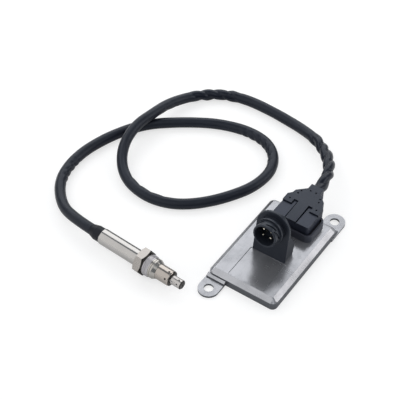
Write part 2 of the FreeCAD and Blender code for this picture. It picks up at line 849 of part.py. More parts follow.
def tail_line(sketch, *start):
    """The plug's outline from its waist back, seen from above, after the corners it starts with."""
    left = [*start, ("waist_half", "waist_front"), ("waist_half - waist_step", "waist_back"),
            ("neck_half", "neck_start"), ("neck_half", "plug_end")]
    return closed_line(sketch, [(f"plug_x - ({x})", y) for x, y in left]
                       + [(f"plug_x + {x}", y) for x, y in reversed(left)])


def make_plug():
    """The harness plug: body, top cover with its tongue, contacts and seal."""
    body = header_body("plug_body")
    foot = f"{BOX_TOP} + header_floor + plug_lift"
    front = sketch_on(body, "XY_Plane", foot)
    round_line(front, "plug_x - plug_half", PLUG_FRONT, "plug_x + plug_half", "-plug_inset", "plug_corner")
    pad(body, front, f"{BOX_TOP} + panel_top - ({foot})")
    seat = sketch_on(body, "XY_Plane", f"{BOX_TOP} + panel_top")
    notch, step = "-(notch_inset + panel_gap)", "-(step_inset + panel_gap)"
    left = [("tongue_half + panel_gap", "-header_length"), ("tongue_half + panel_gap", notch),
            ("notch_half - panel_gap", notch), ("notch_half - panel_gap", step),
            ("2 * plug_half", step), ("2 * plug_half", "plug_end")]
    closed_line(seat, [(f"plug_x - ({x})", y) for x, y in left]
                + [(f"plug_x + {x}", y) for x, y in reversed(left)])
    pocket(body, seat, "panel_top - split_top")
    upper = tail_line(sketch_on(body, "XY_Plane", f"{BOX_TOP} + header_height + plug_lift"),
                      ("plug_half", "-(plug_inset + plug_corner)"), ("plug_half", "0"))
    pad(body, upper, "split_top - header_height - plug_lift")
    taper = "tail_gap * (plug_half - waist_half) / waist_front"
    lower = tail_line(sketch_on(body, "XY_Plane", f"{BOX_TOP} + tail_under"),
                      (f"plug_half - {taper}", "tail_gap"))
    pad(body, lower, "split_top - tail_under")
    well = sketch_on(body, "XY_Plane", f"{BOX_TOP} + split_top")
    box_line(well, "plug_x - well_half", "-well_inset", "plug_x + well_half", "well_back")
    pocket(body, well, "well_depth")
    chambers = sketch_on(body, "XY_Plane", foot)
    for x, y in terminal_places():
        circle_line(chambers, x, y, "terminal_sleeve")
    pocket(body, chambers, f"{BOX_TOP} + sleeve_rise - ({foot})", back=True)

    cover = header_body("plug_cover")
    lid = sketch_on(cover, "XY_Plane", f"{BOX_TOP} + split_top")
    tail_line(lid, ("tongue_half", PLUG_FRONT), ("tongue_half", "-notch_inset"), ("notch_half", "-notch_inset"),
              ("notch_half", "-step_inset"), ("cover_half", "-step_inset"), ("cover_half", "0"))
    pad(cover, lid, "cover_top - split_top")
    slope = sketch_on(cover, "YZ_Plane", "plug_x")
    closed_line(slope, [
        ("-header_length", f"{BOX_TOP} + cover_top - tongue_drop"),
        ("-notch_inset", f"{BOX_TOP} + cover_top"),
        ("-header_length", f"{BOX_TOP} + cover_top"),
    ])
    pocket(cover, slope, "2 * tongue_half", both=True)
    pits = sketch_on(cover, "XY_Plane", f"{BOX_TOP} + cover_top")
    for side in ("-", "+"):
        for across, along in PITS:
            circle_line(pits, f"plug_x {side} {across}", along, "pit_radius")
    pocket(cover, pits, "pit_depth")

    sleeves = []
    for x, y in terminal_places():
        outer = primitive("Cylinder", "sleeve", Radius="terminal_sleeve", Height=f"{BOX_TOP} + sleeve_rise - ({foot})")
        bore = primitive("Cylinder", "sleeve_bore", Radius="terminal_radius + terminal_gap",
                         Height="terminal_rise - header_floor")
        for thing in (outer, bore):
            place(thing, x, f"{HEADER_Y} + {y}", foot)
        sleeves.append(combine("Cut", "contact_sleeve", outer, bore))

    seal = header_body("plug_seal")
    ring = sketch_on(seal, "XY_Plane", foot)
    inset = "header_wall + plug_seal_gap"
    round_line(ring, f"plug_x - header_half + {inset}", f"{inset} - header_length",
               f"plug_x + header_half - ({inset})", f"-({inset})", f"(header_corner - ({inset}))")
    round_line(ring, "plug_x - plug_half", PLUG_FRONT, "plug_x + plug_half", "-plug_inset", "plug_corner")
    pad(seal, ring, "plug_seal_height")
    return [body, cover, group("plug_contacts", sleeves), seal]


def probe_turn():
    return Rotation(Vector(0, 0, 1), size("probe_turn"))


def probe_body(label):
    """A body on the probe's axis: its X is the axis, counted from the sleeve's mouth."""
    body = new_body(label)
    place(body, "probe_x", "probe_y", "nut_across / 2", probe_turn())
    return body


def turned(label, profile):
    """A piece turned about the probe's axis from a profile of (along, radius)."""
    body = probe_body(label)
    revolve(body, closed_line(sketch_on(body, "XY_Plane"), profile))
    return body


def slotted(body, width, height, start, length):
    """A rectangular passage along the axis."""
    slot = sketch_on(body, "YZ_Plane", start)
    box_line(slot, f"-{width} / 2", f"-{height} / 2", f"{width} / 2", f"{height} / 2")
    pocket(body, slot, length, back=True)
    return body


def cross_holes(body, place_along, radius):
    """Pairs of opposite holes through a shield, spread around it."""
    hole = circle_line(sketch_on(body, "XY_Plane"), place_along, "0", radius)
    around(body, [pocket(body, hole, "4 * shield_radius", both=True)], "X_Axis", "hole_pairs")
    return body


def make_union_nut():
    body = probe_body("union_nut")
    hexagon = sketch_on(body, "YZ_Plane", "nut_start")
    corner = "nut_across / sqrt(3)"
    closed_line(hexagon, [(corner, "0"), (f"{corner} / 2", "nut_across / 2"), (f"-{corner} / 2", "nut_across / 2"),
                          (f"-{corner}", "0"), (f"-{corner} / 2", "-nut_across / 2"),
                          (f"{corner} / 2", "-nut_across / 2")])
    pad(body, hexagon, "nut_hex")
    hex_end = "nut_start + nut_hex"
    beyond = "nut_across"
    for end, way in (("nut_start", "+"), (hex_end, "-")):
        rim = closed_line(sketch_on(body, "XY_Plane"), [
            (end, f"{corner} - 2 * nut_chamfer"),
            (f"{end} {way} 2 * nut_chamfer / sqrt(3)", corner),
            (f"{end} {way} 2 * nut_chamfer / sqrt(3)", beyond),
            (end, beyond),
        ])
        doc.recompute()
        groove = body.newObject("PartDesign::Groove", "nut_chamfer")
        groove.Profile = rim
        groove.ReferenceAxis = (rim, ["H_Axis"])
        groove.Angle = 360
        checked(body, groove)
    barrel = closed_line(sketch_on(body, "XY_Plane"), [
        (f"{hex_end} - nut_relief", "0"),
        (f"{hex_end} - nut_relief", "nut_relief_radius"),
        (f"{hex_end} + nut_relief", "nut_relief_radius"),
        (f"{hex_end} + nut_relief", "nut_thread - nut_chamfer"),
        (f"{hex_end} + nut_relief + nut_chamfer", "nut_thread"),
        (f"{NUT_END} - nut_chamfer", "nut_thread"),
        (NUT_END, "nut_thread - nut_chamfer"),
        (NUT_END, "0"),
    ])
    revolve(body, barrel)
    bore = circle_line(sketch_on(body, "YZ_Plane", "nut_start"), "0", "0", "sleeve_radius + nut_gap")
    pocket(body, bore, f"{NUT_END} - nut_start", back=True)
    counter = circle_line(sketch_on(body, "YZ_Plane", f"{SLEEVE_END} - nut_end_gap"), "0", "0",
                          "neck_body_radius + nut_gap")
    pocket(body, counter, f"{NUT_END} - {SLEEVE_END} + nut_end_gap", back=True)
    return body


def make_probe():
    """The steel measuring end, from the cable's grommet to the slotted tip."""
    sleeve = turned("rear_sleeve", [
        ("0", "sleeve_mouth"),
        ("0", "sleeve_radius - sleeve_curl"),
        ("0.3 * sleeve_curl", "sleeve_radius - 0.3 * sleeve_curl"),
        ("sleeve_curl", "sleeve_radius"),
        (SLEEVE_END, "sleeve_radius"),
        (SLEEVE_END, "sleeve_radius - sleeve_wall"),
        ("sleeve_curl", "sleeve_radius - sleeve_wall"),
        ("sleeve_wall", "sleeve_mouth"),
    ])
    grommet = turned("cable_grommet", [
        ("-grommet_end", "0"),
        ("-grommet_end", "grommet_tail"),
        ("-grommet_flare_end", "grommet_flare"),
        ("0", "grommet_flare"),
        ("0", "sleeve_mouth"),
        ("sleeve_wall", "sleeve_mouth"),
        ("sleeve_curl", "sleeve_radius - sleeve_wall"),
        ("grommet_depth", "sleeve_radius - sleeve_wall"),
        ("grommet_depth", "0"),
    ])
    leads = []
    channels = sketch_on(grommet, "YZ_Plane", "-grommet_end")
    for i in range(int(size("lead_count"))):
        y, z = (f"lead_circle * {name}(360 * {i} / lead_count)" for name in ("cos", "sin"))
        circle_line(channels, y, z, "lead_radius")
        lead = primitive("Cylinder", "lead", Radius="lead_radius", Height="grommet_end + holder_start")
        at = probe_turn().multVec(Vector(-size("grommet_end"), size(y), size(z)))
        start = Vector(size("probe_x"), size("probe_y"), size("nut_across / 2")) + at
        lead.Placement = Placement(start, probe_turn().multiply(Rotation(Vector(0, 1, 0), 90)))
        leads.append(lead)
    pocket(grommet, channels, "grommet_end + grommet_depth", back=True)

    holder = turned("contact_housing", [
        ("holder_start", "0"), ("holder_start", "holder_radius"), ("holder_end", "holder_radius"), ("holder_end", "0")])
    slotted(holder, "cavity_width", "cavity_height", "element_start", "cavity_end - element_start")
    slotted(holder, "element_width", "element_height", "element_start", "holder_end - element_start")
    ring = turned("holder_ring", [
        ("clip_start", "holder_radius"), ("clip_start", "sleeve_radius - sleeve_wall"),
        ("clip_end", "sleeve_radius - sleeve_wall"), ("clip_end", "holder_radius")])
    springs = []
    for side in ("-1", "1"):
        for k in ("-1", "0", "1"):
            spring = primitive("Box", "spring", Length="spring_end - spring_start", Width="spring_width",
                               Height="(cavity_height - element_height) / 2")
            low = f"{side} * (cavity_height + element_height) / 4 - (cavity_height - element_height) / 4"
            corner = Vector(size("spring_start"), size(f"{k} * spring_pitch - spring_width / 2"), size(low))
            start = Vector(size("probe_x"), size("probe_y"), size("nut_across / 2")) + probe_turn().multVec(corner)
            spring.Placement = Placement(start, probe_turn())
            springs.append(spring)

    element = probe_body("sensing_element")
    strip = sketch_on(element, "YZ_Plane", "element_start")
    box_line(strip, "-element_width / 2", "-element_height / 2", "element_width / 2", "element_height / 2")
    pad(element, strip, f"{TIP_END} - element_inset - element_start")

    fillings = []
    depths = ["ceramic_depth", "talc_depth", "talc_end_depth", "0"]
    for label, deep, shallow in zip(("rear_ceramic", "talc_seal", "front_ceramic"), depths, depths[1:]):
        start, end = f"({FLANGE_END} - {deep})", f"({FLANGE_END} - {shallow})"
        filling = turned(label, [(start, "0"), (start, "ceramic_radius"), (end, "ceramic_radius"), (end, "0")])
        fillings.append(slotted(filling, "element_width", "element_height", start, f"{end} - {start}"))

    groove = f"({FLANGE_START} + flange_width / 2)"
    body_start = f"({SLEEVE_END} - body_cover)"
    shell = turned("sensor_body", [
        (body_start, "ceramic_radius"),
        (body_start, "sleeve_radius - sleeve_wall"),
        (SLEEVE_END, "sleeve_radius - sleeve_wall"),
        (SLEEVE_END, "neck_body_radius"),
        (FLANGE_START, "neck_body_radius"),
        (FLANGE_START, "flange_radius"),
        (f"{groove} - flange_groove / 2", "flange_radius"),
        (groove, "flange_radius - flange_groove"),
        (f"{groove} + flange_groove / 2", "flange_radius"),
        (FLANGE_END, "flange_radius"),
        (TAPER_END, "taper_radius"),
        (TAPER_END, SHIELD_BORE),
        (SPIGOT_END, SHIELD_BORE),
        (SPIGOT_END, "element_bore"),
        (FLANGE_END, "element_bore"),
        (FLANGE_END, "ceramic_radius"),
    ])

    outer = turned("outer_shield", [
        (TAPER_END, SHIELD_BORE),
        (TAPER_END, "shield_radius"),
        (f"{SHIELD_END} - shield_round", "shield_radius"),
        (f"{SHIELD_END} - 0.3 * shield_round", "shield_radius - 0.3 * shield_round"),
        (SHIELD_END, "shield_radius - shield_round"),
        (SHIELD_END, "tip_radius"),
        (f"{SHIELD_END} - shield_wall", "tip_radius"),
        (f"{SHIELD_END} - shield_wall", "shield_radius - shield_round"),
        (f"{SHIELD_END} - shield_round", SHIELD_BORE),
    ])
    cross_holes(outer, f"{SHIELD_END} - shield_hole_inset", "shield_hole")
    tip = turned("inner_shield", [
        (SPIGOT_END, "tip_radius - tip_wall"),
        (SPIGOT_END, SHIELD_BORE),
        (f"{SPIGOT_END} + tip_wall", SHIELD_BORE),
        (f"{SPIGOT_END} + tip_wall", "tip_radius"),
        (f"{TIP_END} - tip_round", "tip_radius"),
        (TIP_END, "tip_radius - tip_round"),
        (TIP_END, "tip_mouth"),
        (f"{TIP_END} - tip_wall", "tip_mouth"),
        (f"{TIP_END} - tip_wall", "tip_radius - tip_wall - tip_round / 2"),
        (f"{TIP_END} - tip_round", "tip_radius - tip_wall"),
    ])
    cross_holes(tip, f"{TIP_END} - tip_hole_inset", "tip_hole")
    return [sleeve, grommet, group("lead_wires", leads), holder, ring, group("contact_springs", springs),
            element, *fillings, shell, make_union_nut(), outer, tip]


def make_cable():
    """The cable, from the plug's end face to the grommet's."""
    start = Vector(size("plug_x"), size(f"{HEADER_Y} + plug_end"), size(f"{BOX_TOP} + cable_height"))
    mouth = Vector(size("probe_x"), size("probe_y"), size("nut_across / 2"))
    axis = probe_turn().multVec(Vector(1, 0, 0))
    end = mouth - axis * size("grommet_end")
    corners = [start] + [Vector(*point) for point in CABLE_ROUTE] + [end - axis * size("last_run"), end]
    shares = [size("bend_share")] * (len(corners) - 2)
    cable, radii = tube_along("cable", corners, size("cable_radius"), shares)
    print("bend radii", [round(radius) for radius in radii])
    return cable


PIECES = [
    make_housing(),
    make_bottom_sheet(),
    make_housing_seal(),
    make_circuit_board(),
    make_board_screws(),
    *make_board_parts(),
    *make_tower(),
    *make_header(),
    *make_plug(),
    make_cable(),
    *make_probe(),
]
doc.recompute()

for thing in doc.Objects:
    if "Invalid" in thing.State or "Error" in thing.State:
        raise RuntimeError(f"{thing.Label} did not build: {thing.State}")
for piece in PIECES:
    shape = piece.Shape
    if shape.isNull() or not shape.isValid() or shape.Volume <= 0:
        raise RuntimeError(f"{piece.Label} is not a sound solid")
    box = shape.BoundBox
    print(piece.Label, len(shape.Solids), round(shape.Volume, 1), [round(v, 2) for v in (
        box.XMin, box.YMin, box.ZMin, box.XMax, box.YMax, box.ZMax)])
    shape.exportStep(f"parts/{piece.Label}.step")
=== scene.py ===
# %% [markdown]
# # An exhaust nitrogen oxide sensor, dressed for its picture
# The solids of this sensor come ready-made and at their true size: a flat cast box with a round
# socket on a leaning tower, a flat plug, a long looped cable and a steel probe. This lesson gives
# them their skins: it softens edges, cuts a real thread, wraps the cable and builds each finish
# out of shader nodes. The first cell brings the solids in and keeps the space they fill.

# %% Bring in the solids
import json
import math
import bmesh
import bpy
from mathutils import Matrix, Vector, noise


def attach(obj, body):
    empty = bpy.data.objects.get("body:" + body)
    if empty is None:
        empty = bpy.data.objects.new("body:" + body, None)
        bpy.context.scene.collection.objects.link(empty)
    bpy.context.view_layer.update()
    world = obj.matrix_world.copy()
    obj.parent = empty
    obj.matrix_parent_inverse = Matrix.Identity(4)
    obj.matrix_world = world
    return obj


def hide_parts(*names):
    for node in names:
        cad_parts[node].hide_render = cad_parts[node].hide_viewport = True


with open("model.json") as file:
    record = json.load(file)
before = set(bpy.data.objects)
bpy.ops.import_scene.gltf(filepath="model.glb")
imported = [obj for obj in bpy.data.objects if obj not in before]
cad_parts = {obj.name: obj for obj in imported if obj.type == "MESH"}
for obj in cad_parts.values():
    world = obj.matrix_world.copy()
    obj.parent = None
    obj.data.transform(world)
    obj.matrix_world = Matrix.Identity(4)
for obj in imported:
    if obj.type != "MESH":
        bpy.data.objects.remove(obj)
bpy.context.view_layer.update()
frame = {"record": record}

# %% [markdown]
# ## Camera
# The picture is taken from well above the box's right front corner with a long lens, from about a
# metre away. A long lens keeps parallel edges nearly parallel, so the camera's distance matters as
# much as its direction: both are given, together with the point the camera looks at.

# %% Camera
CAMERA_PLACE = Vector((0.32952, -0.58967, 0.78334))
CAMERA_AIM = Vector((-0.09140, 0.01859, 0.0))
LENS_MM, SENSOR_MM = 105.1, 36
camera_data = bpy.data.cameras.new("camera")
camera_data.lens = LENS_MM
camera_data.sensor_width = SENSOR_MM
camera_data.clip_start = 0.05
camera_data.clip_end = 20
camera = bpy.data.objects.new("camera", camera_data)
camera.location = CAMERA_PLACE
camera.rotation_euler = (CAMERA_AIM - CAMERA_PLACE).to_track_quat("-Z", "Y").to_euler()
scene = bpy.context.scene
scene.collection.objects.link(camera)
scene.camera = camera
print("camera is", round((CAMERA_AIM - CAMERA_PLACE).length, 3), "m from its aim")

# %% [markdown]
# ## Shader arithmetic
# A finish is a small graph of nodes. Writing it as arithmetic is easier to read than naming every
# Math node, so a socket is wrapped in a class whose operators each add one node: `1 - mask * 0.3`
# becomes a Multiply and a Subtract. Everything else goes through one method of the finish.

# %% Arithmetic on sockets
class Wire:
    """One output socket, which can be added, multiplied and so on."""

    def __init__(self, finish, socket):
        self.finish = finish
        self.socket = socket

    def reckon(self, operation, *values):
        return self.finish.node("ShaderNodeMath", {"operation": operation}, values)

    def __add__(self, other):
        return self.reckon("ADD", self, other)

    def __radd__(self, other):
        return self.reckon("ADD", other, self)

    def __sub__(self, other):
        return self.reckon("SUBTRACT", self, other)

    def __rsub__(self, other):
        return self.reckon("SUBTRACT", other, self)

    def __mul__(self, other):
        return self.reckon("MULTIPLY", self, other)

    def sine(self):
        return self.reckon("SINE", self)

    def within(self):
        """The same value, kept from 0 to 1."""
        return self.finish.node("ShaderNodeClamp", {}, {"Value": self})


class Finish:
    """A material with one Principled shader, whose constants sit on the shader itself."""

    def __init__(self, name, **constants):
        self.material = bpy.data.materials.new(name)
        self.material.use_nodes = True
        self.tree = self.material.node_tree
        self.shader = next(n for n in self.tree.nodes if n.type == "BSDF_PRINCIPLED")
        for socket, value in constants.items():
            value = (*value, 1.0) if isinstance(value, tuple) else value
            self.shader.inputs[socket.replace("_", " ")].default_value = value

    def node(self, kind, settings, values, output=0):
        """Adds a node: its settings first, then the values or links of its sockets."""
        node = self.tree.nodes.new(kind)
        for name, setting in settings.items():
            setattr(node, name, setting)
        pairs = values.items() if isinstance(values, dict) else enumerate(values)
        for name, value in pairs:
            self.join(node.inputs[name], value)
        return Wire(self, node.outputs[output])

    def join(self, socket, value):
        if isinstance(value, Wire):
            self.tree.links.new(value.socket, socket)
        elif isinstance(value, tuple) and socket.type == "RGBA":
            socket.default_value = (*value, 1.0)
        else:
            socket.default_value = value

    def feed(self, **links):
        for socket, value in links.items():
            self.join(self.shader.inputs[socket.replace("_", " ")], value)

    def uv(self):
        """The piece's own map: along it and round it."""
        split = self.node("ShaderNodeSeparateXYZ", {}, {
            "Vector": self.node("ShaderNodeUVMap", {}, {})}, "X")
        return split, Wire(self, split.socket.node.outputs["Y"])

    def place(self):
        """Where a surface point is, in metres, on the piece itself."""
        return self.node("ShaderNodeTexCoord", {}, {}, "Object")

    def stretched(self, where, scale):
        return self.node("ShaderNodeMapping", {}, {"Vector": where, "Scale": scale})

    def noise(self, where, scale, detail, roughness=0.5):
        return self.node("ShaderNodeTexNoise", {}, {
            "Vector": where, "Scale": scale, "Detail": detail, "Roughness": roughness}, "Fac")

    def ramp(self, factor, low, high):
        """A mask that goes from 0 to 1 as the factor goes from low to high."""
        return self.node("ShaderNodeMapRange", {}, {
            "Value": factor, "From Min": low, "From Max": high})

    def blend(self, factor, first, second):
        """A colour that goes from the first to the second; a Mix node keeps its colours at 6 and 7."""
        return self.node("ShaderNodeMix", {"data_type": "RGBA"}, {
            "Factor": factor, 6: first, 7: second}, 2)

    def painted(self, name):
        """A number that the mesh itself carries on each face."""
        return self.node("ShaderNodeAttribute", {"attribute_name": name}, {}, "Fac")

    def bump(self, height, distance, strength, rounding=0.0):
        """Small relief, on edges that look rounded by a radius in metres."""
        values = {"Height": height, "Distance": distance, "Strength": strength}
        if rounding:
            values["Normal"] = self.node("ShaderNodeBevel", {"samples": 6}, {"Radius": rounding})
        return self.node("ShaderNodeBump", {}, values)


print("arithmetic ready")

# %% [markdown]
# ## Cable route
# The real cable leaves the plug, swings out in a wide loop, passes over itself once and comes
# back to the probe. A NURBS spline of order 3 bends smoothly between control points without
# reaching them, much as a cable does, so the route is given by a few dozen chosen corners. The two
# points at the crossing are lifted, which makes a long low hump.

# %% Cable route
CABLE_ROUTE = [
    (0.0020, 0.0700, 0.0228), (0.001, 0.087, 0.0225), (-0.007, 0.108, 0.019), (-0.021, 0.126, 0.013),
    (-0.039, 0.141, 0.008), (-0.064, 0.150, 0.005), (-0.096, 0.154, 0.005), (-0.129, 0.155, 0.005),
    (-0.155, 0.147, 0.005), (-0.175, 0.128, 0.006), (-0.185, 0.102, 0.011), (-0.186, 0.076, 0.0164),
    (-0.190, 0.049, 0.0164), (-0.184, 0.021, 0.011), (-0.165, -0.001, 0.006), (-0.138, -0.010, 0.005),
    (-0.109, -0.006, 0.005), (-0.086, 0.011, 0.005), (-0.068, 0.035, 0.005), (-0.056, 0.060, 0.005),
    (-0.055, 0.088, 0.005), (-0.071, 0.111, 0.005), (-0.098, 0.118, 0.005), (-0.132, 0.110, 0.005),
    (-0.163, 0.091, 0.005), (-0.191, 0.068, 0.005), (-0.209, 0.035, 0.005), (-0.218, -0.003, 0.005),
    (-0.212, -0.038, 0.005), (-0.188, -0.064, 0.0065), (-0.16114, -0.07286, 0.011),
    (-0.14318, -0.07403, 0.011),
]
CABLE_RADIUS = 0.005
STEPS_BETWEEN = 32

route_data = bpy.data.curves.new("cable_line", "CURVE")
route_data.dimensions = "3D"
route_data.resolution_u = STEPS_BETWEEN
spline = route_data.splines.new("NURBS")
spline.points.add(len(CABLE_ROUTE) - 1)
for target, point in zip(spline.points, CABLE_ROUTE):
    target.co = (*point, 1.0)
spline.order_u = 3
spline.use_endpoint_u = True
route_curve = bpy.data.objects.new("cable_line", route_data)
scene.collection.objects.link(route_curve)
bpy.context.view_layer.update()
centreline = bpy.data.meshes.new_from_object(route_curve)
cable_path = [vertex.co.copy() for vertex in centreline.vertices]

# %% [markdown]
# ## Light
# Polished steel and tumbled aluminium show their surroundings more than their own colour, so the
# studio is laid out as they see it. A broad bright panel stands behind: the lid and the bright
# strip along the probe are its reflection. A dimmer, warmer one stands in front and reaches down to
# the floor, and the gap left between the two draws the dark line along the probe. A small panel to the
# right lights the flanks of the tower and the box, a weaker one beside the camera fills in whatever
# looks that way, and two soft lamps give the plastics a shine. A lamp's power is worked out from its
# radiance, so that a change of its size leaves it as bright as it was.

# %% Lamps and world
LAMP_AIM = Vector((-0.08, 0.02, 0.0))
LAMP_DISTANCE = 1.5
WHITE, WARM, WARMER = (1.0, 1.0, 1.0), (1.0, 0.98, 0.955), (1.0, 0.97, 0.945)
SKY, SKY_STRENGTH = (0.85, 0.92, 1.0), 0.31


def area_lamp(name, turn, rise, wide, high, radiance, colour=WHITE):
    """A soft panel that looks at the object, from a compass turn and a height in degrees."""
    data = bpy.data.lights.new(name, "AREA")
    data.shape = "RECTANGLE"
    data.size = wide
    data.size_y = high
    data.energy = radiance * math.pi * wide * high
    data.color = colour
    lamp = bpy.data.objects.new(name, data)
    turn, rise = math.radians(turn), math.radians(rise)
    way = Vector((math.cos(turn) * math.cos(rise), math.sin(turn) * math.cos(rise), math.sin(rise)))
    lamp.location = LAMP_AIM + way * LAMP_DISTANCE
    lamp.rotation_euler = (-way).to_track_quat("-Z", "Y").to_euler()
    scene.collection.objects.link(lamp)


area_lamp("panel_back", turn=125, rise=38, wide=2.0, high=1.35, radiance=1.75)
area_lamp("panel_front", turn=240, rise=36, wide=2.3, high=2.12, radiance=0.94, colour=WARM)
area_lamp("panel_right", turn=35, rise=27, wide=1.0, high=0.9, radiance=2.4, colour=WARMER)
area_lamp("panel_near", turn=325, rise=44, wide=0.7, high=0.6, radiance=0.80)
area_lamp("lamp_left", turn=185, rise=42, wide=0.35, high=0.35, radiance=3.5)
area_lamp("lamp_over", turn=330, rise=72, wide=0.35, high=0.35, radiance=3.5)

world = bpy.data.worlds.new("studio")
scene.world = world
world.use_nodes = True
background = world.node_tree.nodes["Background"]
background.inputs["Color"].default_value = (*SKY, 1.0)
background.inputs["Strength"].default_value = SKY_STRENGTH
scene.view_settings.view_transform = "Standard"
print("lamps", round(sum(light.energy for light in bpy.data.lights), 1), "W")

# %% [markdown]
# ## Floor
# The photograph's ground is a pure white sheet. A sheet that is really that white would also throw
# much light back up under the object, so Light Path tells the kinds of ray apart. The camera sees
# grey paper that glows, so that shadows stay pale. Steel and aluminium mirror a white paper that
# hardly glows and so keeps its shadow. The light that spreads from the sheet is that of a mid-grey
# one.

# %% Floor
FLOOR_HALF_WIDTH, FLOOR_GAP = 3.0, 0.0003

floor_sheet = bmesh.new()
bmesh.ops.create_grid(floor_sheet, x_segments=1, y_segments=1, size=FLOOR_HALF_WIDTH)
floor_mesh = bpy.data.meshes.new("floor")
floor_sheet.to_mesh(floor_mesh)
floor_sheet.free()
floor = bpy.data.objects.new("floor", floor_mesh)
floor.location = (0.0, 0.0, -FLOOR_GAP)
scene.collection.objects.link(floor)

floor_finish = Finish("floor", Roughness=1.0, Specular_IOR_Level=0.0, Emission_Strength=1.0)
seen, glossy, through = (floor_finish.node("ShaderNodeLightPath", {}, {}, kind)
                         for kind in ("Is Camera Ray", "Is Glossy Ray", "Is Transmission Ray"))
mirrored = glossy.reckon("MAXIMUM", glossy, through)


def by_ray(spreading, pictured, reflected):
    """One colour for light that spreads, one for the camera and one for mirrors."""
    return floor_finish.blend(mirrored, floor_finish.blend(seen, spreading, pictured), reflected)


floor_finish.feed(
    Base_Color=by_ray(
        spreading=(0.50, 0.50, 0.51), pictured=(0.42, 0.42, 0.42), reflected=(0.92, 0.92, 0.92)),
    Emission_Color=by_ray(
        spreading=(0.0, 0.0, 0.0), pictured=(0.63, 0.63, 0.63), reflected=(0.06, 0.06, 0.06)),
)
floor.data.materials.append(floor_finish.material)
print("floor laid at", floor.location.z)

# %% [markdown]
# ## Cast aluminium
# The box is cast and then tumbled with stones. One material shows all its faces, with painted light
# and shade: the mesh carries a number on each face for its polish and painted shade, from 0 on the
# walls to 1 on the front slope. It paints the front slope brightest, the lid and the right slope a
# little darker and the left one more so, and the walls darkest, as painted shade, and it leaves the
# walls rougher. Tumbling also leaves fine scratches and a few smudges. They darken the surface,
# roughen it, and tilt it by very little. A cast lid is never quite level either: the photograph
# shows the tower's reflection leaning to the left, as a slant of 0.043, which is two and a half
# degrees, would make it. Nearly a third of the finish isn't metal but plain scatter, a haze that
# lifts the dark reflections.

# %% Cast aluminium
# Dark end: painted shade on the walls, and smudges and scratches. Bright end: painted light on the
# front slope.
BRIGHT_TONE, SHADE_AND_SMUDGE_DARK = (0.436, 0.440, 0.464), (0.105, 0.110, 0.122)
LID_POLISH = 0.74
LEVEL_ERROR = 0.043
RELIEF, RELIEF_SHARE = 0.000006, 0.4
LENGTHWISE, CROSSWISE = (1400.0, 80.0, 500.0), (110.0, 1600.0, 500.0)
EDGE_ROUNDING = 0.0002
FINISHES = {}


def cast_aluminium(name):
    finish = Finish(name, Metallic=0.70)
    where = finish.place()
    polish_and_painted_shade = finish.painted("polish_and_painted_shade")
    smudge = finish.noise(where, scale=48.0, detail=5.0, roughness=0.65)
    streak = finish.noise(finish.stretched(where, LENGTHWISE), scale=1.0, detail=2.0)
    cross = finish.noise(finish.stretched(where, CROSSWISE), scale=1.0, detail=2.0)
    grain = finish.noise(where, scale=2600.0, detail=2.0)
    across = finish.node("ShaderNodeSeparateXYZ", {}, {"Vector": where}, "X")
    cloud = finish.ramp(smudge, 0.42, 0.66)
    scratch = finish.ramp(streak, 0.55, 0.8) + finish.ramp(cross, 0.58, 0.8)
    # The number on each face paints light and shade by the way the face looks; smudges and scratches
    # darken it too.
    tone = polish_and_painted_shade * (1.0 - cloud * 0.26 - scratch * 0.15)
    smooth = finish.ramp(polish_and_painted_shade, 0.0, LID_POLISH)
    relief = grain * 0.5 + streak * 0.45 + cross * 0.45
    slant = LEVEL_ERROR / (RELIEF * RELIEF_SHARE)
    finish.feed(
        Base_Color=finish.blend(tone.within(), SHADE_AND_SMUDGE_DARK, BRIGHT_TONE),
        Roughness=0.36 - smooth * 0.18 + cloud * 0.08 + scratch * 0.06,
        Normal=finish.bump(relief - across * slant, RELIEF, RELIEF_SHARE, EDGE_ROUNDING),
    )
    FINISHES[name] = finish.material


cast_aluminium("cast_aluminium")
print("cast aluminium ready")

# %% [markdown]
# ## Plastics, rubbers and turned steel
# These finishes share one recipe. A slow noise makes the colour and the shine slightly uneven, as
# handling does, and a fine one gives the grain of the mould or the tool. On steel the grain is
# stretched, because a lathe or a die leaves lines in one direction. Edges are given a radius of a
# fraction of a millimetre, since none of them is a knife edge. The plastics shine faintly blue. A
# mesh can mark faces for painted shade, which darkens and dulls them, or as coated with some
# other colour.

# %% The other finishes
FAINT_BLUE = (0.80, 0.88, 1.0)
SHEEN_SPREAD = 0.08
# The second of these is how much of a colour is left under painted shade.
UNEVEN, SHADE_PAINTED_SHARE = 0.84, 0.12
MOULDED = (1800.0, 1800.0, 1800.0)
DRAWN = (160.0, 2600.0, 2600.0)
TURNED = (4200.0, 300.0, 300.0)


def plain(name, colour, roughness, metallic=0.0, depth=0.00002, grain=MOULDED,
          rounding=EDGE_ROUNDING, shine=0.5, coat=None):
    """A finish by the shared recipe; depth is that of the grain, in metres."""
    finish = Finish(name, Metallic=metallic, Specular_IOR_Level=shine)
    if not metallic:
        finish.shader.inputs["Specular Tint"].default_value = (*FAINT_BLUE, 1.0)
    where = finish.place()
    fine = finish.noise(finish.stretched(where, grain), scale=1.0, detail=2.0)
    cloud = finish.noise(where, scale=75.0, detail=3.0)
    ends_painted_dark = finish.painted("ends_painted_dark")
    darker = tuple(channel * UNEVEN for channel in colour)
    shade_painted_colour = tuple(channel * SHADE_PAINTED_SHARE for channel in colour)
    # Faces marked for painted shade are painted dark and made duller.
    tone = finish.blend(ends_painted_dark, finish.blend(cloud, darker, colour), shade_painted_colour)
    sheen = roughness - SHEEN_SPREAD / 2 + cloud * SHEEN_SPREAD + ends_painted_dark * 0.15
    if coat:
        coated = finish.painted("coated")
        tone = finish.blend(coated, tone, coat)
        sheen = sheen + coated * 0.16
    finish.feed(Base_Color=tone, Roughness=sheen, Normal=finish.bump(fine, depth, 0.6, rounding))
    FINISHES[name] = finish.material


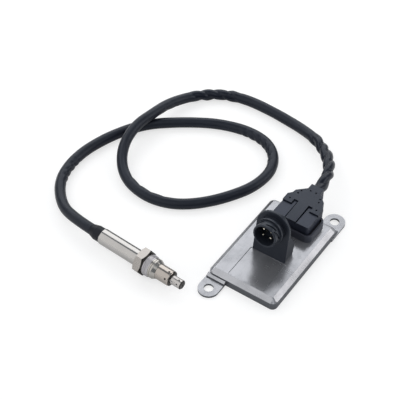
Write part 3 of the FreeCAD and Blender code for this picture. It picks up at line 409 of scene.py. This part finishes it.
plain("sheet_aluminium", (0.40, 0.41, 0.43), 0.35, metallic=1.0)
plain("sealant", (0.03, 0.03, 0.035), 0.6)
plain("tower_plastic", (0.017, 0.020, 0.028), 0.38, rounding=0.0003, shine=0.35)
plain("seal_rubber", (0.012, 0.010, 0.010), 0.6)
plain("contact_metal", (0.80, 0.75, 0.62), 0.25, metallic=1.0)
plain("header_plastic", (0.042, 0.044, 0.058), 0.42)
plain("plug_plastic", (0.020, 0.023, 0.038), 0.46)
plain("cover_plastic", (0.008, 0.010, 0.019), 0.44)
plain("grommet_rubber", (0.006, 0.006, 0.009), 0.38, shine=0.25)
plain("sleeve_steel", (0.455, 0.44, 0.425), 0.15, metallic=1.0, depth=0.000003, grain=DRAWN)
plain("nut_steel", (0.375, 0.352, 0.332), 0.22, metallic=1.0, depth=0.000002, grain=TURNED,
      coat=(0.50, 0.485, 0.50))
plain("body_steel", (0.43, 0.41, 0.385), 0.22, metallic=1.0, depth=0.000004, grain=TURNED)
plain("shield_steel", (0.415, 0.377, 0.345), 0.17, metallic=1.0, depth=0.000003, grain=DRAWN)
plain("tip_steel", (0.48, 0.46, 0.445), 0.20, metallic=1.0, depth=0.000004, grain=DRAWN)

for part in frame["record"]["subparts"]:
    finish = FINISHES.get(part["material_slot"])
    solid = bpy.data.objects.get(part["node"])
    if finish and solid:
        for slot in solid.material_slots:
            slot.material = finish
print(len(FINISHES), "finishes")

# %% [markdown]
# ## Cable finish
# The cable's sleeve is a fine close braid with a dull shine. Where tape is wound over it the
# surface is smooth plastic, a little bluer and shinier. The cable carries its own map, in
# centimetres along it and turns round it, so the braid follows every bend, and the taped lengths
# are simply two stretches of that map.

# %% Cable finish
TAPED = [(0.000, 0.096), (0.186, 0.236)]
TAPE_EDGE = 0.1
MAP_SCALE = 100
BRAID_ALONG, BRAID_ROUND = 36.0, 88.0
TAPE_COLOUR = (0.005, 0.006, 0.012)
SLEEVE_DARK, SLEEVE_WORN = (0.004, 0.005, 0.009), (0.012, 0.014, 0.022)


def braided_cable(name):
    finish = Finish(name, Specular_IOR_Level=0.30, Specular_Tint=FAINT_BLUE)
    along, turn = finish.uv()
    tape = 0.0
    for start, end in TAPED:
        first, last = start * MAP_SCALE, end * MAP_SCALE
        begun = finish.ramp(along, first, first + TAPE_EDGE)
        tape = tape + begun * finish.ramp(along, last + TAPE_EDGE, last)
    along, turn = along * BRAID_ALONG, turn * BRAID_ROUND
    strands = (along + turn).sine() * (along - turn).sine()
    cloud = finish.noise(finish.place(), scale=60.0, detail=3.0)
    sleeve = finish.blend(cloud, SLEEVE_DARK, SLEEVE_WORN)
    finish.feed(
        Base_Color=finish.blend(tape, sleeve, TAPE_COLOUR),
        Roughness=0.30 - tape * 0.04 + cloud * 0.08,
        Normal=finish.bump(strands * (1.0 - tape), 0.00005, 0.6),
    )
    FINISHES[name] = finish.material


braided_cable("cable_sleeve")
print("taped lengths", [round(end - start, 3) for start, end in TAPED], "m")

# %% [markdown]
# ## Cable shape
# Beside the plug, and again at the top of the loop, the leads are twisted together and wound with
# tape. The tape is stretched over the strands, so the bundle looks like a thick soft rope: it bulges
# over each strand and falls into a sharp valley between two of them. Puckers are lower bulges of the
# bare sleeve, on the inside of its bends. The bevelled spline makes the plain tube, with its map,
# and each ring of it is swelled by where it lies on the twist. The whole tube is 3% thicker than
# the solid, as the photograph's is. Each stretch below says where it starts and ends along the
# cable, how far apart its bulges are, and how high they stand as a share of the radius. They grow
# and fade over twelve millimetres.

# %% Cable skin
CABLE_SIDES = 30
STRANDS = 2
THICKER, WAVY = 0.03, 0.03
EARLY, FADE = 0.004, 0.012
WANDERING = 0.25
ROUNDNESS, MIDDLE_HEIGHT = 0.7, 0.62
TAPE_BULGES = [(0.000, 0.096, 0.0172, 0.50), (0.186, 0.240, 0.0136, 0.38)]
PUCKERS = [(0.255, 0.300, 0.0130, 0.14), (0.372, 0.430, 0.0140, 0.18),
           (0.542, 0.612, 0.0088, 0.32), (0.780, 0.822, 0.0080, 0.30)]


def bulging(along, turn, stretch):
    """How much one stretch swells the tube, at a distance along it and a share of a turn round it."""
    start, end, spacing, height = stretch
    inside = min(1.0, max(0.0, min(along - start + EARLY, end - along) / FADE))
    wander = WANDERING * noise.noise(Vector((along * 70.0, 4.0, 0.0)))
    bulge = abs(math.sin(math.pi * (along / spacing + wander - STRANDS * turn)))
    bulge *= 0.8 + 0.4 * noise.noise(Vector((along * 90.0, turn * 4.0, 9.0)))
    return height * inside * (bulge ** ROUNDNESS - MIDDLE_HEIGHT)


def swelling(along, turn, inward):
    """How much the tube swells in all; inward is 1 on the inside of a bend and -1 on its outside."""
    round_it = Vector((along * 55.0, math.cos(turn * math.tau), math.sin(turn * math.tau)))
    swell = THICKER + WAVY * noise.noise(round_it)
    swell += sum(bulging(along, turn, stretch) for stretch in TAPE_BULGES)
    swell += sum(bulging(along, turn, stretch) for stretch in PUCKERS) * max(0.0, inward)
    return swell


route_data.bevel_depth = CABLE_RADIUS
route_data.bevel_resolution = (CABLE_SIDES - 4) // 2
bpy.context.view_layer.update()
cable_mesh = bpy.data.meshes.new_from_object(route_curve)
cable_mesh.name = "cable_skin"
travelled = [0.0]
for before, after in zip(cable_path, cable_path[1:]):
    travelled.append(travelled[-1] + (after - before).length)
for vertex in cable_mesh.vertices:
    ring, side = divmod(vertex.index, CABLE_SIDES)
    centre = cable_path[ring]
    before, after = cable_path[max(ring - 1, 0)], cable_path[min(ring + 1, len(cable_path) - 1)]
    inward = (before + after - centre * 2).normalized().dot((vertex.co - centre).normalized())
    swell = swelling(travelled[ring], side / CABLE_SIDES, inward)
    vertex.co = centre + (vertex.co - centre) * (1 + swell)
    vertex.co.z = max(vertex.co.z, 0.0)
for corner in cable_mesh.uv_layers[0].data:
    share, turn = corner.uv
    corner.uv = (travelled[round(share * (len(cable_path) - 1))] * MAP_SCALE, turn)
cable_shape = bmesh.new()
cable_shape.from_mesh(cable_mesh)
bmesh.ops.holes_fill(cable_shape, edges=[edge for edge in cable_shape.edges if edge.is_boundary])
bmesh.ops.recalc_face_normals(cable_shape, faces=cable_shape.faces)
for face in cable_shape.faces:
    face.smooth = True
cable_shape.to_mesh(cable_mesh)
cable_shape.free()
cable_skin = bpy.data.objects.new("cable_skin", cable_mesh)
scene.collection.objects.link(cable_skin)
cable_mesh.materials.clear()
cable_mesh.materials.append(FINISHES["cable_sleeve"])
bpy.data.objects.remove(route_curve)
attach(cable_skin, "sensor")
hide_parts("cable")
print("cable skin", len(cable_mesh.polygons), "faces")

# %% [markdown]
# ## Softened edges
# Nothing that is cast or moulded has a knife edge, and a rounded edge catches the light as a thin
# bright line. A solid's own mesh is copied and its doubled corners joined. Flats that were split
# into triangles become whole again, and then only chosen hard edges are bevelled.

# %% Softening tools
SAME_PLACE = 0.000001
LONG_EDGE = 0.0025
EDGE_WIDTH = 0.00025
FLAT_WITHIN, SHARP_OVER = 0.5, 40


def shaped_copy(node):
    """A solid's mesh, ready to be shaped: corners joined and flats whole."""
    shape = bmesh.new()
    shape.from_mesh(bpy.data.objects[node].data)
    bmesh.ops.remove_doubles(shape, verts=shape.verts, dist=SAME_PLACE)
    bmesh.ops.dissolve_limit(
        shape, angle_limit=math.radians(FLAT_WITHIN), verts=shape.verts, edges=shape.edges)
    return shape


def is_long(edge):
    """Whether an edge is one of the straight ones, not a short one round a corner."""
    return edge.calc_length() > LONG_EDGE


def soften(shape, width, angle, chosen):
    """Bevels the chosen edges that turn by more than an angle in degrees, and counts them."""
    hard = [edge for edge in shape.edges
            if edge.is_manifold and edge.calc_face_angle() > math.radians(angle) and chosen(edge)]
    bmesh.ops.bevel(shape, geom=hard, offset=width, affect="EDGES", segments=2, profile=0.5,
                    material=-1)
    return len(hard)


def add_piece(shape, name, slot, nodes, body="sensor"):
    """Makes a bmesh a smooth piece that rides on a body and stands for some solids."""
    mesh = bpy.data.meshes.new(name)
    shape.to_mesh(mesh)
    shape.free()
    mesh.shade_smooth()
    mesh.set_sharp_from_angle(angle=math.radians(SHARP_OVER))
    mesh.materials.clear()
    mesh.materials.append(FINISHES[slot])
    piece = bpy.data.objects.new(name, mesh)
    scene.collection.objects.link(piece)
    weighted = piece.modifiers.new("even_shading", "WEIGHTED_NORMAL")
    weighted.keep_sharp = True
    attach(piece, body)
    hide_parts(*nodes)


print("softening tools ready")

# %% [markdown]
# ## Box
# The cast box keeps its solid's shape, and every face is given its number for the polish and the
# painted light and shade, by the way it looks. Only the long straight edges are bevelled in the
# mesh. The short ones round its corners are left to the finish, whose rounding shades them just as
# well and can't fold where several of them meet.

# %% Box
# Painted light and shade: front slope brightest, right a little darker, left darker still, walls
# darkest.
FRONT_POLISH_AND_PAINTED_LIGHT, RIGHT_POLISH_AND_PAINTED_LIGHT, LEFT_POLISH_AND_PAINTED_SHADE, WALL_POLISH_AND_PAINTED_SHADE = 1.0, 0.72, 0.44, 0.0
LEVEL_UP, SLOPE_UP, SLOPE_SIDEWAYS = 0.9, 0.3, 0.7


def polish_and_painted_shade_of(way):
    """A face's polish and painted light and shade, by the way it looks; walls get painted shade."""
    if way.z > LEVEL_UP:
        return LID_POLISH
    if way.z <= SLOPE_UP:
        return WALL_POLISH_AND_PAINTED_SHADE
    if way.y < -SLOPE_UP:
        return FRONT_POLISH_AND_PAINTED_LIGHT
    share = (way.x + SLOPE_SIDEWAYS) / (2 * SLOPE_SIDEWAYS)
    return LEFT_POLISH_AND_PAINTED_SHADE + (RIGHT_POLISH_AND_PAINTED_LIGHT - LEFT_POLISH_AND_PAINTED_SHADE) * share


box_shape = shaped_copy("housing")
polish_and_painted_shade = box_shape.faces.layers.float.new("polish_and_painted_shade")
for face in box_shape.faces:
    face[polish_and_painted_shade] = polish_and_painted_shade_of(face.normal)
straight = soften(box_shape, EDGE_WIDTH, 35, is_long)
print("box softened along", straight, "edges")
add_piece(box_shape, "housing_soft", "cast_aluminium", ["housing"])

# %% [markdown]
# ## Plug and header
# Three mouldings: the fixed header in the lid, the plug that sits in it, and the plug's cover with
# its springy tongue. A slit runs back on each side of the tongue. Both of its walls are drawn back
# by a quarter of a millimetre, so that the slits read as dark lines from a metre away.

# %% Plug and header
PLUG_MIDDLE = 0.002
SLIT = (0.0055, 0.0058)
DRAWN_BACK = 0.00025
ON_THE_WALL = 0.00002
MOULDINGS = (
    ("plug_header", "header_plastic", 0.00030),
    ("plug_body", "plug_plastic", 0.00030),
    ("plug_cover", "cover_plastic", 0.00020),
)


def open_slits(shape):
    """Draws both walls of both slits apart, to the left and to the right of the plug's middle."""
    for vertex in shape.verts:
        arm = vertex.co.x - PLUG_MIDDLE
        for wall, way in zip(SLIT, (-1, 1)):
            if abs(abs(arm) - wall) < ON_THE_WALL:
                vertex.co.x = PLUG_MIDDLE + math.copysign(wall + way * DRAWN_BACK, arm)


for node, slot, width in MOULDINGS:
    shape = shaped_copy(node)
    if node != "plug_header":
        open_slits(shape)
    straight = soften(shape, width, 30, is_long)
    print(node, "softened along", straight, "edges")
    add_piece(shape, node + "_soft", slot, [node])

# %% [markdown]
# ## Union nut
# The photograph shows a shorter hexagon than the solid has, so its rear face is first drawn forward
# along the sleeve. The solid's thread is a plain barrel at the outside diameter. Here the barrel
# shrinks to the root and one ridge is wound round it: a small trapezium is spun about the probe's
# axis and moved on by one pitch a turn, as a die does. Its ends are pressed down to the root, as a
# chamfer cuts them. The thread is coated with a pale paste that keeps it from seizing.

# %% Union nut
PROBE_START = Vector((-0.1312, -0.0748, 0.0110))
PROBE_WAY = Vector((0.997916, -0.064532, 0.0)).normalized()
HEXAGON_DRAWN = ((0.0390, 0.0450, 0.0040), (0.0480, 0.0512, 0.0005))
THREAD_ROOT, THREAD_CREST, THREAD_PITCH = 0.00930, 0.00996, 0.0015
THREAD_FROM, THREAD_TO = 0.0525, 0.0581
RUN_IN, RUN_OUT = 0.0002, 0.0003
BARREL_SKIN = 0.0094
RIDGE_FOOT = 0.0090
RIDGE_OUTLINE = ((-0.00066, RIDGE_FOOT), (-0.0001, THREAD_CREST),
                 (0.0001, THREAD_CREST), (0.00066, RIDGE_FOOT))
STEPS_A_TURN = 64
# The thread's span, where no shade is painted.
SHADE_FREE_SPAN = (0.0520, 0.0582)
PASTE_FROM, PASTE_ARM = 0.0522, 0.0087
LOOKS_AHEAD, PARALLEL = 0.6, 0.99
LONG_CORNER = 0.002


def along_probe(point):
    """How far along the probe's axis a point lies, and its arm out from the axis."""
    arm = point - PROBE_START
    reach = arm.dot(PROBE_WAY)
    return reach, arm - PROBE_WAY * reach


def at_arm(reach, arm, radius):
    """The point at some reach along the probe and a radius out from it, on the side of an arm."""
    return PROBE_START + PROBE_WAY * reach + arm.normalized() * radius


def paint_shade_on_ends(shape, where=lambda reach: True):
    """Marks the faces that look along the probe, to be painted dark as shade."""
    ends_painted_dark = shape.faces.layers.float.new("ends_painted_dark")
    for face in shape.faces:
        face.normal_update()
        reach, arm = along_probe(face.calc_center_median())
        ahead = face.normal.dot(PROBE_WAY) > LOOKS_AHEAD
        face[ends_painted_dark] = 1.0 if ahead and where(reach) else 0.0


nut_shape = shaped_copy("union_nut")
for vertex in nut_shape.verts:
    reach, arm = along_probe(vertex.co)
    if reach > THREAD_FROM - RUN_IN and arm.length > BARREL_SKIN:
        vertex.co = at_arm(reach, arm, THREAD_ROOT)
    for start, end, drawn in HEXAGON_DRAWN:
        if start < reach < end:
            vertex.co += PROBE_WAY * drawn


def runs_along(edge):
    """Whether an edge is one of the hexagon's six long corners."""
    way = edge.verts[1].co - edge.verts[0].co
    return way.length > LONG_CORNER and abs(way.normalized().dot(PROBE_WAY)) > PARALLEL


corners = soften(nut_shape, EDGE_WIDTH, 35, runs_along)
print("hexagon softened along", corners, "corners")

barrel = set(nut_shape.verts)
up = Vector((0, 0, 1))
ridge = [nut_shape.verts.new(at_arm(THREAD_FROM - RUN_IN + shift, up, radius))
         for shift, radius in RIDGE_OUTLINE]
sides = [nut_shape.edges.new((a, b)) for a, b in zip(ridge, ridge[1:] + ridge[:1])]
turns = (THREAD_TO + RUN_OUT - THREAD_FROM) / THREAD_PITCH
steps = round(turns * STEPS_A_TURN)
bmesh.ops.spin(nut_shape, geom=ridge + sides, cent=PROBE_START, axis=PROBE_WAY,
               angle=turns * math.tau, steps=steps, dvec=PROBE_WAY * (turns * THREAD_PITCH / steps),
               use_merge=False, use_duplicate=False)
bmesh.ops.holes_fill(nut_shape, edges=[edge for edge in nut_shape.edges if edge.is_boundary])
for vertex in set(nut_shape.verts) - barrel:
    reach, arm = along_probe(vertex.co)
    room = min(reach - THREAD_FROM, THREAD_TO - reach)
    vertex.co = at_arm(reach, arm, min(arm.length, max(RIDGE_FOOT, THREAD_ROOT + room)))
bmesh.ops.recalc_face_normals(nut_shape, faces=nut_shape.faces)
# The faces that look along the probe, off the thread, are painted dark as shade.
paint_shade_on_ends(nut_shape, lambda reach: reach < SHADE_FREE_SPAN[0] or reach > SHADE_FREE_SPAN[1])
coated = nut_shape.faces.layers.float.new("coated")
for face in nut_shape.faces:
    reach, arm = along_probe(face.calc_center_median())
    face[coated] = 1.0 if reach > PASTE_FROM and arm.length > PASTE_ARM else 0.0
add_piece(nut_shape, "threaded_nut", "nut_steel", ["union_nut"], "nut")
print("thread of", round(turns, 1), "turns at", THREAD_PITCH * 1000, "mm a turn")

# %% [markdown]
# ## Shields
# Two nested steel cups guard the sensing element and let the gas in through small holes. Their
# sides stay fairly bright, but the ends that face the gas are painted dark, as shade.

# %% Shields
for node, slot in (("outer_shield", "shield_steel"), ("inner_shield", "tip_steel")):
    shape = shaped_copy(node)
    # The ends that face the gas are painted dark, as shade.
    paint_shade_on_ends(shape)
    print(node, len(shape.faces), "faces")
    add_piece(shape, node + "_sooty", slot, [node])
